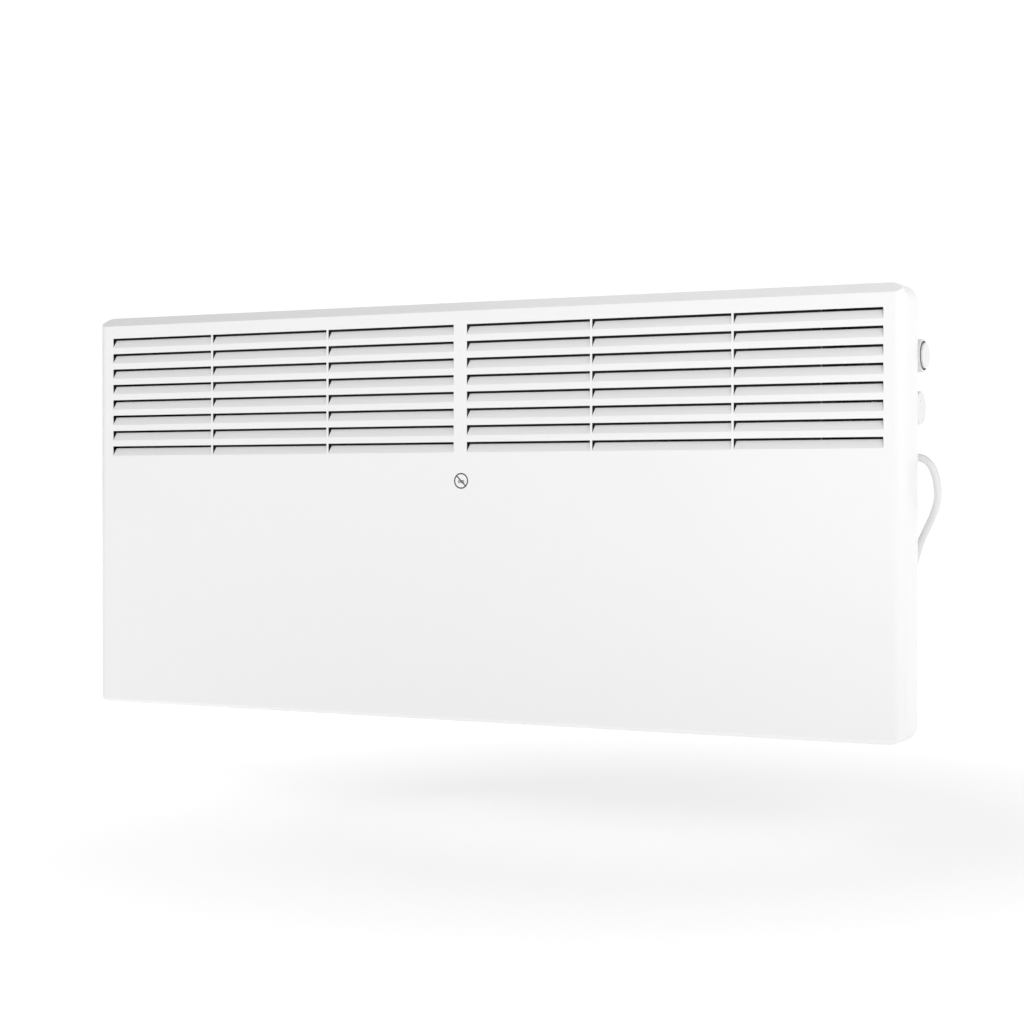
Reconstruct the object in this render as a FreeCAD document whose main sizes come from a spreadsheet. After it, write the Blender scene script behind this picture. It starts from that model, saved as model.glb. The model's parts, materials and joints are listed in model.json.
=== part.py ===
"""Wall convector heater: louvred steel cover, rear casing, X-profile element, controls, mains lead
and the wall bracket that it hangs on.

Frame, in millimetres: +X towards the controls, +Z up, wall plane at y = 0 and the heater in front
of it at negative y. The origin is the centre of the bracket's four bolt holes, on the wall plane.
"""
import FreeCAD, Part
import math
import os
import re

import Sketcher

os.makedirs("parts", exist_ok=True)
doc = FreeCAD.newDocument("wall_convector_heater")
Vector = FreeCAD.Vector
Rotation = FreeCAD.Rotation
Placement = FreeCAD.Placement

# ---------------------------------------------------------------- driving dimensions

DIMENSIONS = {
    # outside of the heater: the distances from the wall are positive here
    "cover_width": 860,
    "cover_height": 400,
    "cover_front": 112,
    "cover_back": 71,
    "sheet": 0.8,
    "corner_radius": 15,
    "side_roll": 10,
    "top_bevel": 9,
    "bottom_roll": 4,
    "lip_width": 12,
    # louvres: two banks of three slots, eight rows
    "bank_outer": 411,
    "bank_left_inner": 9,
    "bank_right_inner": 5,
    "web_left_outer": 287,
    "web_left_inner": 150,
    "web_right_inner": 134.6,
    "web_right_outer": 273,
    "web_width": 2,
    "row_pitch": 16,
    "row_count": 8,
    "first_row_drop": 23,
    "slot_rise": 1.2,
    "slot_drop": 8.6,
    "blade_recess": 4,
    "blade_rise": 7.8,
    "blade_gap": 0.2,
    "blade_taper": 2,
    # air inlets along the underside
    "inlet_width": 3.8,
    "inlet_pitch": 10,
    "inlet_count": 36,
    "inlet_start": 30,
    "cover_inlet_near": 76,
    "cover_inlet_far": 102,
    "casing_inlet_near": 47,
    "casing_inlet_far": 63,
    # rear casing
    "casing_width": 832,
    "casing_height": 376,
    "casing_back": 40,
    "casing_corner": 10,
    "rim_width": 856,
    "rim_height": 396,
    "rim_corner": 12,
    "screw_across": 844,
    "screw_up": 232,
    "screw_hole": 4.4,
    "screw_shank": 3.9,
    "screw_head": 7,
    "screw_head_high": 2.2,
    "screw_length": 9,
    # controls on the right-hand wall
    "control_line": 54.7,
    "button_height": 139,
    "button_diameter": 22.8,
    "button_face": 433.4,
    "button_root": 420,
    "button_stem": 8,
    "button_round": 0.8,
    "bezel_diameter": 29.5,
    "bezel_bore": 25.7,
    "bezel_face": 431,
    "seal_bore": 23.2,
    "seal_length": 4.6,
    "seal_stand": 0.3,
    "switch_hole": 20,
    "switch_depth": 30,
    "switch_wide": 22,
    "switch_high": 28,
    "switch_bush": 19,
    "knob_height": 92.8,
    "knob_diameter": 29.6,
    "knob_face": 429,
    "knob_root": 417,
    "knob_wall": 1.8,
    "knob_boss": 11,
    "knob_round": 1.2,
    "shaft_diameter": 6,
    "shaft_start": 398,
    "shaft_end": 427,
    "shaft_flat": 1.5,
    "thermostat_depth": 24,
    "thermostat_wide": 25,
    "thermostat_high": 32,
    "thermostat_bush": 8.4,
    "thermostat_hole": 9,
    "bush_end": 420,
    "nut_across": 12,
    "nut_high": 2.5,
    "running_gap": 0.1,
    "tab_width": 6.3,
    "tab_sheet": 0.8,
    "tab_length": 7,
    "tab_spacing": 12,
    # thermostat sensor
    "capillary_diameter": 2,
    "bulb_diameter": 7,
    "bulb_length": 70,
    "bulb_top": -95,
    "sensor_x": 400,
    "sensor_line": 74,
    "clip_height": 12,
    "clip_wall": 1.5,
    "capillary_line": 62,
    "capillary_straight": 8,
    "capillary_swing": 22,
    "capillary_bend": 6,
    # heating chamber
    "partition_x": 352,
    "partition_depth": 62,
    "partition_height": 366,
    "partition_foot": 12,
    "grommet_height": 20,
    "grommet_line": 60,
    "grommet_outer": 20,
    "grommet_neck": 16,
    "grommet_bore": 12,
    "grommet_length": 5,
    "element_line": 82,
    "element_height": -62,
    "element_length": 640,
    "element_reach": 27,
    "element_hub": 8,
    "element_arm": 2.4,
    "rod_diameter": 8,
    "rod_length": 686,
    "holder_x": 336,
    "holder_sheet": 1.2,
    "holder_front": 104,
    "holder_high": 60,
    "holder_foot": 12,
    "insulator_flange": 20,
    "insulator_neck": 12,
    "insulator_length": 8,
    "shield_width": 640,
    "shield_line": 52,
    "shield_sheet": 0.8,
    "shield_top": 20,
    "shield_bottom": -116,
    "shield_foot": 14,
    "cutout_x": 250,
    "cutout_height": 4,
    "cutout_diameter": 16,
    "cutout_length": 7,
    # earth screw on the back panel
    "earth_x": 368,
    "earth_height": 8,
    "earth_washer": 10,
    "earth_stack": 6,
    # mains lead
    "cord_diameter": 6.8,
    "cord_height": 49.5,
    "cord_start": 410,
    "sheath_end": 374,
    "gland_hole": 9.6,
    "gland_flange": 11.4,
    "gland_flange_high": 0.8,
    "gland_length": 4,
    "clamp_x": 392,
    "clamp_wide": 10,
    "clamp_high": 24,
    "clamp_front": 63,
    "clamp_screw": 3,
    "clamp_screw_offset": 8,
    "clamp_screw_grip": 6,
    "clamp_head_high": 2,
    "wire_diameter": 2.4,
    "wire_bend": 9,
    "wire_lane": 2.6,
    "coil_x": 238,
    "coil_height": -62,
    "coil_line": 20,
    "coil_middle": 75,
    "coil_across": 4,
    "coil_layers": 2,
    "tie_width": 8,
    "tie_sheet": 1.2,
    "tie_slack": 0.6,
    "plug_x": 280,
    "relief_top": -118,
    "relief_bottom": -140,
    "relief_small": 8.6,
    "relief_large": 13,
    "plug_diameter": 35,
    "plug_bottom": -176,
    "plug_shoulder": 12,
    "plug_neck": 19,
    "pin_diameter": 4.8,
    "pin_length": 19,
    "pin_spacing": 19,
    # wall bracket and rear spacers
    "bolt_across": 330,
    "bolt_up": 190,
    "bolt_hole": 6.5,
    "bracket_sheet": 1.5,
    "upright_width": 30,
    "upright_depth": 36,
    "upright_top": 114,
    "shelf_top": -107,
    "shelf_length": 544,
    "shelf_lip": 7,
    "shelf_back": 22,
    "top_bar_high": 26,
    "hook_upper": 54,
    "hook_lower": -50,
    "hook_neck": 6,
    "hook_tip": 10,
    "hook_reach": 46,
    "hook_throat": 42,
    "hook_root": 1,
    "hook_chamfer": 2,
    "hook_slot_wide": 5,
    "lift_travel": 12,
    "spacer_diameter": 22,
    "spacer_x": 380,
    "spacer_height": -160,
    "spacer_wall_gap": 0.5,
}

sheet_object = doc.addObject("Spreadsheet::Sheet", "dims")
for row, (alias, number) in enumerate(DIMENSIONS.items(), start=1):
    sheet_object.set(f"A{row}", alias.replace("_", " "))
    sheet_object.set(f"B{row}", str(number))
    sheet_object.setAlias(f"B{row}", alias)
doc.recompute()

sub_parts = []


# ---------------------------------------------------------------- helpers

def linked(text):
    """The expression with every alias pointed at the sheet."""
    def name(word):
        return "dims." + word[0] if word[0] in DIMENSIONS else word[0]

    return re.sub(r"[a-z_]+", name, str(text))


def value(text):
    """The expression's number in millimetres."""
    return float(sheet_object.evalExpression(linked(text)))


def bind(thing, **expressions):
    """Bind properties to expressions; a double underscore in a name stands for a dot."""
    for name, text in expressions.items():
        thing.setExpression(name.replace("__", "."), linked(text))


def keep(thing, label):
    """Mark a finished sub-part: its label names its file."""
    thing.Label = label
    sub_parts.append(thing)
    return thing


def new_body(name):
    return doc.addObject("PartDesign::Body", name + "_body")


def origin_feature(body, role):
    return next(feature for feature in body.Origin.OriginFeatures if feature.Role == role)


def new_sketch(body, role, offset="0"):
    """A sketch on one of the body's origin planes, moved along that plane's normal."""
    sketch = body.newObject("Sketcher::SketchObject", body.Name + "_sketch")
    sketch.AttachmentSupport = [(origin_feature(body, role), "")]
    sketch.MapMode = "FlatFace"
    bind(sketch, AttachmentOffset__Base__z=offset)
    return sketch


def pin_point(sketch, geometry, point, across, up):
    """Fix one sketch point with two dimensions that are bound to the sheet."""
    for kind, text in (("DistanceX", across), ("DistanceY", up)):
        distance = Sketcher.Constraint(kind, -1, 1, geometry, point, value(text))
        number = sketch.addConstraint(distance)
        sketch.setExpression(f"Constraints[{number}]", linked(text))


def add_polygon(sketch, corners):
    """A closed outline through corners given as pairs of expressions."""
    first = sketch.GeometryCount
    points = [Vector(value(across), value(up), 0) for across, up in corners]
    count = len(points)
    for index in range(count):
        sketch.addGeometry(Part.LineSegment(points[index], points[(index + 1) % count]), False)
    for index in range(count):
        after = first + (index + 1) % count
        sketch.addConstraint(Sketcher.Constraint("Coincident", first + index, 2, after, 1))
    for index, (across, up) in enumerate(corners):
        pin_point(sketch, first + index, 1, across, up)


def add_rectangle(sketch, left, right, bottom, top):
    add_polygon(sketch, [(left, bottom), (right, bottom), (right, top), (left, top)])


def add_rounded_rectangle(sketch, half_wide, half_high, radius):
    """A rectangle centred on the sketch's origin, with an arc at each corner."""
    run_wide = f"({half_wide} - ({radius}))"
    run_high = f"({half_high} - ({radius}))"
    sides = [
        ((f"-{run_wide}", f"-{half_high}"), (run_wide, f"-{half_high}")),
        ((half_wide, f"-{run_high}"), (half_wide, run_high)),
        ((run_wide, half_high), (f"-{run_wide}", half_high)),
        ((f"-{half_wide}", run_high), (f"-{half_wide}", f"-{run_high}")),
    ]
    centres = [(run_wide, f"-{run_high}"), (run_wide, run_high), (f"-{run_wide}", run_high),
               (f"-{run_wide}", f"-{run_high}")]
    lines = []
    for start, end in sides:
        ends = [Vector(value(across), value(up), 0) for across, up in (start, end)]
        line = sketch.addGeometry(Part.LineSegment(*ends), False)
        pin_point(sketch, line, 1, *start)
        pin_point(sketch, line, 2, *end)
        lines.append(line)
    for index, (across, up) in enumerate(centres):
        centre = Vector(value(across), value(up), 0)
        circle = Part.Circle(centre, Vector(0, 0, 1), value(radius))
        first_angle = math.radians(90 * (index - 1))
        quarter = Part.ArcOfCircle(circle, first_angle, first_angle + math.pi / 2)
        arc = sketch.addGeometry(quarter, False)
        sketch.addConstraint(Sketcher.Constraint("Coincident", arc, 1, lines[index], 2))
        sketch.addConstraint(Sketcher.Constraint("Coincident", arc, 2, lines[(index + 1) % 4], 1))
        number = sketch.addConstraint(Sketcher.Constraint("Radius", arc, value(radius)))
        sketch.setExpression(f"Constraints[{number}]", linked(radius))


def add_circle(sketch, across, up, diameter):
    centre = Vector(value(across), value(up), 0)
    circle = sketch.addGeometry(Part.Circle(centre, Vector(0, 0, 1), value(diameter) / 2), False)
    pin_point(sketch, circle, 3, across, up)
    number = sketch.addConstraint(Sketcher.Constraint("Diameter", circle, value(diameter)))
    sketch.setExpression(f"Constraints[{number}]", linked(diameter))


def add_feature(body, kind, sketch, length, reverse=False):
    feature = body.newObject("PartDesign::" + kind, body.Name + "_" + kind.lower())
    feature.Profile = (sketch, [""])
    feature.Reversed = reverse
    bind(feature, Length=length)
    body.Tip = feature
    return feature


def pad(body, sketch, length, reverse=False):
    return add_feature(body, "Pad", sketch, length, reverse)


def pocket(body, sketch, length, reverse=False):
    """Cut the sketch away, and stop if nothing was removed."""
    doc.recompute()
    before = body.Shape.Volume
    feature = add_feature(body, "Pocket", sketch, length, reverse)
    doc.recompute()
    assert body.Shape.Volume < before - 0.01, body.Name
    return feature


def pattern(body, originals, role, spacing, count, reverse=False):
    feature = body.newObject("PartDesign::LinearPattern", body.Name + "_pattern")
    feature.Originals = originals
    feature.Direction = (origin_feature(body, role), [""])
    feature.Mode = "Spacing"
    feature.Reversed = reverse
    bind(feature, Offset=spacing, Occurrences=count)
    body.Tip = feature
    return feature


def dress(body, kind, size, wanted):
    """Fillet or chamfer the edges that the test function picks."""
    doc.recompute()
    base = body.Tip
    names = [f"Edge{index}" for index, edge in enumerate(base.Shape.Edges, start=1) if wanted(edge)]
    feature = body.newObject("PartDesign::" + kind, body.Name + "_" + kind.lower())
    feature.Base = (base, names)
    bind(feature, **{"Radius" if kind == "Fillet" else "Size": size})
    body.Tip = feature
    return feature


def runs_along(edge, axis):
    """Whether a straight edge is parallel to an axis given as a letter."""
    if edge.Curve.TypeId != "Part::GeomLine":
        return False
    return abs(getattr(edge.tangentAt(edge.FirstParameter), axis)) > 0.999


def place(thing, x, y, z, rotation=None):
    if rotation:
        thing.Placement = Placement(Vector(0, 0, 0), rotation)
    bind(thing, Placement__Base__x=x, Placement__Base__y=y, Placement__Base__z=z)
    return thing


def box(name, x, y, z):
    """A box between two coordinates on each axis, each a pair of expressions."""
    thing = doc.addObject("Part::Box", name)
    bind(thing, Length=f"{x[1]} - ({x[0]})", Width=f"{y[1]} - ({y[0]})", Height=f"{z[1]} - ({z[0]})")
    return place(thing, x[0], y[0], z[0])


TURNED = {
    "x": Rotation(Vector(0, 0, 1), Vector(1, 0, 0)),
    "y": Rotation(Vector(0, 0, 1), Vector(0, 1, 0)),
}


def rod(name, axis, start, diameter, length):
    """A cylinder that grows from its start point along an axis."""
    thing = doc.addObject("Part::Cylinder", name)
    bind(thing, Radius=f"({diameter}) / 2", Height=length)
    return place(thing, *start, rotation=TURNED.get(axis))


def cut(name, base, tool):
    thing = doc.addObject("Part::Cut", name)
    thing.Base = base
    thing.Tool = tool
    return thing


def fuse(name, shapes):
    thing = doc.addObject("Part::MultiFuse", name)
    thing.Shapes = shapes
    thing.Refine = True
    return thing


def ring(name, axis, start, outer, inner, length):
    return cut(name, rod(name + "_outside", axis, start, outer, length),
               rod(name + "_bore", axis, start, inner, length))


def mirrored_signs():
    return (("left", "-1"), ("right", "1"))


# ---------------------------------------------------------------- front cover

def solid_tray(name, inset):
    """The cover's filled outline: rolled sides, bevelled top and round corners, shrunk by inset."""
    half_width = f"(cover_width / 2 - ({inset}))"
    half_height = f"(cover_height / 2 - ({inset}))"
    front = f"(cover_front - ({inset}))"
    bevel = f"(top_bevel - ({inset}) * (2 - sqrt(2)))"

    plan = new_body(name + "_plan")
    sketch = new_sketch(plan, "XY_Plane", f"-{half_height}")
    add_rectangle(sketch, f"-{half_width}", half_width, f"-{front}", "-cover_back")
    pad(plan, sketch, f"2 * {half_height}")
    front_y = -value(front)
    dress(plan, "Fillet", f"side_roll - ({inset})",
          lambda edge: runs_along(edge, "z") and abs(edge.CenterOfMass.y - front_y) < 0.01)

    side = new_body(name + "_side")
    sketch = new_sketch(side, "YZ_Plane", f"-{half_width}")
    add_polygon(sketch, [
        ("-cover_back", f"-{half_height}"),
        ("-cover_back", half_height),
        (f"-{front} + {bevel}", half_height),
        (f"-{front}", f"{half_height} - {bevel}"),
        (f"-{front}", f"-{half_height}"),
    ])
    pad(side, sketch, f"2 * {half_width}")
    dress(side, "Fillet", f"bottom_roll - ({inset})",
          lambda edge: (runs_along(edge, "x") and edge.CenterOfMass.z < 0
                        and edge.CenterOfMass.y < front_y + 1))

    outline = new_body(name + "_outline")
    sketch = new_sketch(outline, "XZ_Plane", "cover_back")
    add_rectangle(sketch, f"-{half_width}", half_width, f"-{half_height}", half_height)
    pad(outline, sketch, f"{front} - cover_back")
    dress(outline, "Fillet", f"corner_radius - ({inset})", lambda edge: runs_along(edge, "y"))

    tray = doc.addObject("Part::MultiCommon", name)
    tray.Shapes = [plan, side, outline]
    return tray


def louvre_slots():
    """Left and right end of each slot in one row, as expressions."""
    posts = ["-web_left_outer", "-web_left_inner", "web_right_inner", "web_right_outer"]
    half = "web_width / 2"
    return [
        ("-bank_outer", f"{posts[0]} - {half}"),
        (f"{posts[0]} + {half}", f"{posts[1]} - {half}"),
        (f"{posts[1]} + {half}", "-bank_left_inner"),
        ("bank_right_inner", f"{posts[2]} - {half}"),
        (f"{posts[2]} + {half}", f"{posts[3]} - {half}"),
        (f"{posts[3]} + {half}", "bank_outer"),
    ]


FIRST_ROW = "(cover_height / 2 - first_row_drop)"


def make_front_cover():
    outside = solid_tray("cover_outside", "0")
    inside = solid_tray("cover_inside", "sheet")
    doc.recompute()
    lip_cover = box("cover_lip", ("-cover_width / 2", "cover_width / 2"),
                    ("-cover_back - sheet", "-cover_back"), ("-cover_height / 2", "cover_height / 2"))
    hollow = cut("cover_hollow", inside, lip_cover)
    half_mouth = "(cover_width / 2 - lip_width - sheet)"
    high_mouth = "(cover_height / 2 - lip_width - sheet)"
    mouth = box("cover_mouth", (f"-{half_mouth}", half_mouth),
                ("-cover_back - sheet * 2", "-cover_back + sheet"), (f"-{high_mouth}", high_mouth))
    shell = cut("cover_shell", cut("cover_walls", outside, hollow), mouth)
    doc.recompute()

    cover = new_body("front_cover")
    cover.BaseFeature = shell
    doc.recompute()
    add_louvres(cover)
    add_underside_inlets(cover, "cover_height / 2", "cover_inlet_near", "cover_inlet_far")
    sketch = new_sketch(cover, "XZ_Plane", "cover_back - sheet")
    add_screw_holes(sketch)
    pocket(cover, sketch, "3 * sheet", reverse=True)
    return keep(cover, "front_cover")


def add_louvres(cover):
    """Slots through the front sheet; a blade, narrower at its free edge, leans in from each sill."""
    slots = new_sketch(cover, "XZ_Plane", "cover_front")
    for left, right in louvre_slots():
        add_rectangle(slots, left, right, f"{FIRST_ROW} - slot_drop", f"{FIRST_ROW} + slot_rise")
    first_slots = pocket(cover, slots, "2 * sheet")
    pattern(cover, [first_slots], "Z_Axis", "row_pitch", "row_count", reverse=True)

    slope = "sqrt(blade_recess^2 + blade_rise^2)"
    hinge = f"{FIRST_ROW} - slot_drop"
    blades = []
    for left, right in louvre_slots():
        blade = new_sketch(cover, "YZ_Plane", f"{left} + blade_gap")
        add_polygon(blade, [
            ("-cover_front", hinge),
            ("-cover_front + blade_recess", f"{hinge} + blade_rise"),
            (f"-cover_front + blade_recess + sheet * blade_rise / {slope}",
             f"{hinge} + blade_rise - sheet * blade_recess / {slope}"),
            (f"-cover_front + sheet * blade_rise / {slope}",
             f"{hinge} - sheet * blade_recess / {slope}"),
        ])
        blades.append(pad(cover, blade, f"{right} - ({left}) - 2 * blade_gap"))
    pattern(cover, blades, "Z_Axis", "row_pitch", "row_count", reverse=True)

    tapers = new_sketch(cover, "XZ_Plane", "cover_front")
    top = f"{FIRST_ROW} + slot_rise"
    for left, right in louvre_slots():
        for end, inward in ((left, "+"), (right, "-")):
            add_polygon(tapers, [(end, top), (f"{end} {inward} blade_taper", top), (end, hinge)])
    first_tapers = pocket(cover, tapers, "blade_recess + 3 * sheet")
    pattern(cover, [first_tapers], "Z_Axis", "row_pitch", "row_count", reverse=True)


def add_underside_inlets(body, drop, near, far):
    """Two mirrored rows of air slots through the bottom wall."""
    sketch = new_sketch(body, "XY_Plane", f"-({drop})")
    add_rectangle(sketch, "inlet_start", "inlet_start + inlet_width", f"-{far}", f"-{near}")
    right = pocket(body, sketch, "2 * sheet", reverse=True)
    pattern(body, [right], "X_Axis", "inlet_pitch", "inlet_count")
    sketch = new_sketch(body, "XY_Plane", f"-({drop})")
    add_rectangle(sketch, "-inlet_start - inlet_width", "-inlet_start", f"-{far}", f"-{near}")
    left = pocket(body, sketch, "2 * sheet", reverse=True)
    pattern(body, [left], "X_Axis", "inlet_pitch", "inlet_count", reverse=True)


def screw_places():
    return [(side, level, f"{sign} * screw_across / 2", f"{tall} * screw_up / 2")
            for side, sign in mirrored_signs() for level, tall in (("lower", "-1"), ("upper", "1"))]


def add_screw_holes(sketch):
    for _, _, across, up in screw_places():
        add_circle(sketch, across, up, "screw_hole")


# ---------------------------------------------------------------- rear casing

HALF_WIDE = "(casing_width / 2)"
HALF_HIGH = "(casing_height / 2)"


def make_rear_casing():
    """Frame of four walls, with a rim that closes the cover from behind."""
    casing = new_body("rear_casing")
    sketch = new_sketch(casing, "XZ_Plane", "casing_back")
    add_rounded_rectangle(sketch, HALF_WIDE, HALF_HIGH, "casing_corner")
    pad(casing, sketch, "cover_back - casing_back")
    sketch = new_sketch(casing, "XZ_Plane", "cover_back - sheet")
    add_rounded_rectangle(sketch, "(rim_width / 2)", "(rim_height / 2)", "rim_corner")
    pad(casing, sketch, "sheet")
    sketch = new_sketch(casing, "XZ_Plane", "cover_back")
    add_rounded_rectangle(sketch, f"({HALF_WIDE} - sheet)", f"({HALF_HIGH} - sheet)",
                          "casing_corner - sheet")
    pocket(casing, sketch, "cover_back - casing_back")
    sketch = new_sketch(casing, "XZ_Plane", "cover_back")
    add_screw_holes(sketch)
    pocket(casing, sketch, "2 * sheet")
    add_underside_inlets(casing, HALF_HIGH, "casing_inlet_near", "casing_inlet_far")
    add_control_holes(casing)
    return keep(casing, "rear_casing")


def make_back_panel():
    """Flat sheet welded into the back of the frame; the bracket's hooks reach through its slots."""
    panel = new_body("back_panel")
    sketch = new_sketch(panel, "XZ_Plane", "casing_back")
    add_rounded_rectangle(sketch, f"({HALF_WIDE} - sheet)", f"({HALF_HIGH} - sheet)", "casing_corner")
    pad(panel, sketch, "sheet")
    add_hook_slots(panel)
    return keep(panel, "back_panel")


def add_hook_slots(panel):
    """Four slots; each rests on its hook's neck."""
    sketch = new_sketch(panel, "XZ_Plane", "casing_back")
    for _, sign in mirrored_signs():
        middle = f"{sign} * (bolt_across / 2 - upright_width / 2 + bracket_sheet / 2)"
        for rest in ("hook_upper", "hook_lower"):
            add_rectangle(sketch, f"{middle} - hook_slot_wide / 2", f"{middle} + hook_slot_wide / 2",
                          f"{rest} - hook_neck - lift_travel", rest)
    pocket(panel, sketch, "2 * sheet", reverse=True)


def add_control_holes(casing):
    sketch = new_sketch(casing, "YZ_Plane", "casing_width / 2")
    add_circle(sketch, "-control_line", "button_height", "switch_hole")
    add_circle(sketch, "-control_line", "knob_height", "thermostat_hole")
    add_circle(sketch, "-control_line", "cord_height", "gland_hole")
    pocket(casing, sketch, "2 * sheet")


def make_cover_screws():
    for side, level, across, up in screw_places():
        name = f"cover_screw_{level}_{side}"
        head = rod(name + "_head", "y", (across, "-cover_back + sheet", up), "screw_head",
                   "screw_head_high")
        shank = rod(name + "_shank", "y", (across, "-cover_back + sheet - screw_length", up),
                    "screw_shank", "screw_length")
        keep(fuse(name + "_solid", [head, shank]), name)


def make_rear_spacers():
    for side, sign in mirrored_signs():
        name = f"rear_spacer_{side}"
        spacer = rod(name + "_solid", "y", (f"{sign} * spacer_x", "-casing_back", "spacer_height"),
                     "spacer_diameter", "casing_back - spacer_wall_gap")
        keep(spacer, name)


# ---------------------------------------------------------------- switch and thermostat

WALL_OUT = "(casing_width / 2)"
WALL_IN = "(casing_width / 2 - sheet)"


def on_wall(x, height):
    """A point on a control's axis, which runs along X."""
    return (x, "-control_line", height)


def make_switch():
    bezel = ring("switch_bezel_solid", "x", on_wall(WALL_OUT, "button_height"),
                 "bezel_diameter", "bezel_bore", "bezel_face - casing_width / 2")
    keep(bezel, "switch_bezel")
    seal = ring("switch_seal_solid", "x",
                on_wall("bezel_face - seal_length + seal_stand", "button_height"),
                "bezel_bore", "seal_bore", "seal_length")
    keep(seal, "switch_seal_ring")
    body_box = box("switch_body_box", (f"{WALL_IN} - switch_depth", WALL_IN),
                   ("-control_line - switch_wide / 2", "-control_line + switch_wide / 2"),
                   ("button_height - switch_high / 2", "button_height + switch_high / 2"))
    bush = rod("switch_body_bush", "x", on_wall(WALL_IN, "button_height"), "switch_bush", "2 * sheet")
    bore = rod("switch_body_bore", "x", on_wall(f"{WALL_IN} - switch_depth / 2", "button_height"),
               "button_stem + 2 * running_gap", "switch_depth")
    solid = fuse("switch_body_outside", [body_box, bush])
    keep(cut("switch_body_solid", solid, bore), "switch_body")
    make_tabs("switch", f"({WALL_IN} - switch_depth)", "button_height")


def make_tabs(owner, face, height):
    """Two blade terminals standing off the inner end of a control."""
    for level, sign in (("lower", "-1"), ("upper", "1")):
        middle = f"{height} + {sign} * tab_spacing / 2"
        tab = box(f"{owner}_tab_{level}_box", (f"{face} - tab_length", face),
                  ("-control_line - tab_width / 2", "-control_line + tab_width / 2"),
                  (f"{middle} - tab_sheet / 2", f"{middle} + tab_sheet / 2"))
        keep(tab, f"{owner}_tab_{level}")


def make_power_button():
    """A round cap on a stem that slides in the switch body."""
    button = new_body("power_button")
    sketch = new_sketch(button, "YZ_Plane", "button_root")
    add_circle(sketch, "-control_line", "button_height", "button_diameter")
    pad(button, sketch, "button_face - button_root")
    face = value("button_face")
    dress(button, "Fillet", "button_round", lambda edge: abs(edge.CenterOfMass.x - face) < 0.01)
    sketch = new_sketch(button, "YZ_Plane", "button_root")
    add_circle(sketch, "-control_line", "button_height", "button_stem")
    pad(button, sketch, f"button_root - {WALL_IN} + switch_depth / 3", reverse=True)
    return keep(button, "power_button")


def make_thermostat():
    body_box = box("thermostat_box", (f"{WALL_IN} - thermostat_depth", WALL_IN),
                   ("-control_line - thermostat_wide / 2", "-control_line + thermostat_wide / 2"),
                   ("knob_height - thermostat_high / 2", "knob_height + thermostat_high / 2"))
    bush = rod("thermostat_bush_rod", "x", on_wall(WALL_IN, "knob_height"), "thermostat_bush",
               f"bush_end - {WALL_IN}")
    bore = rod("thermostat_bore", "x", on_wall("shaft_start", "knob_height"),
               "shaft_diameter + 2 * running_gap", "bush_end - shaft_start")
    solid = fuse("thermostat_outside", [body_box, bush])
    keep(cut("thermostat_body_solid", solid, bore), "thermostat_body")

    nut = new_body("thermostat_nut")
    sketch = new_sketch(nut, "YZ_Plane", WALL_OUT)
    corners = []
    for index in range(6):
        turn = f"{60 * index} deg"
        corners.append((f"-control_line + nut_across / sqrt(3) * cos({turn})",
                        f"knob_height + nut_across / sqrt(3) * sin({turn})"))
    add_polygon(sketch, corners)
    pad(nut, sketch, "nut_high")
    sketch = new_sketch(nut, "YZ_Plane", f"{WALL_OUT} + nut_high")
    add_circle(sketch, "-control_line", "knob_height", "thermostat_bush")
    pocket(nut, sketch, "nut_high")
    keep(nut, "thermostat_nut")
    make_tabs("thermostat", f"({WALL_IN} - thermostat_depth)", "knob_height")


def d_section(body, sketch_at, length):
    """Pad a round section that has one flat, as on a control's shaft."""
    sketch = new_sketch(body, "YZ_Plane", sketch_at)
    add_circle(sketch, "-control_line", "knob_height", "shaft_diameter")
    pad(body, sketch, length)
    sketch = new_sketch(body, "YZ_Plane", f"{sketch_at} + {length}")
    add_rectangle(sketch, "-control_line - shaft_diameter", "-control_line + shaft_diameter",
                  "knob_height + shaft_diameter / 2 - shaft_flat", "knob_height + shaft_diameter")
    pocket(body, sketch, "shaft_end - bush_end")


def make_thermostat_knob():
    shaft = new_body("thermostat_shaft")
    d_section(shaft, "shaft_start", "(shaft_end - shaft_start)")
    keep(shaft, "thermostat_shaft")

    knob = new_body("thermostat_knob_cap")
    sketch = new_sketch(knob, "YZ_Plane", "knob_root")
    add_circle(sketch, "-control_line", "knob_height", "knob_diameter")
    pad(knob, sketch, "knob_face - knob_root")
    face = value("knob_face")
    dress(knob, "Fillet", "knob_round", lambda edge: abs(edge.CenterOfMass.x - face) < 0.01)
    sketch = new_sketch(knob, "YZ_Plane", "knob_root")
    add_circle(sketch, "-control_line", "knob_height", "knob_diameter - 2 * knob_wall")
    pocket(knob, sketch, "knob_face - knob_root - knob_wall", reverse=True)
    sketch = new_sketch(knob, "YZ_Plane", "bush_end + running_gap")
    add_circle(sketch, "-control_line", "knob_height", "knob_boss")
    pad(knob, sketch, "knob_face - knob_wall / 2 - bush_end - running_gap")
    keep(cut("thermostat_knob_solid", knob, shaft), "thermostat_knob")


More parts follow.
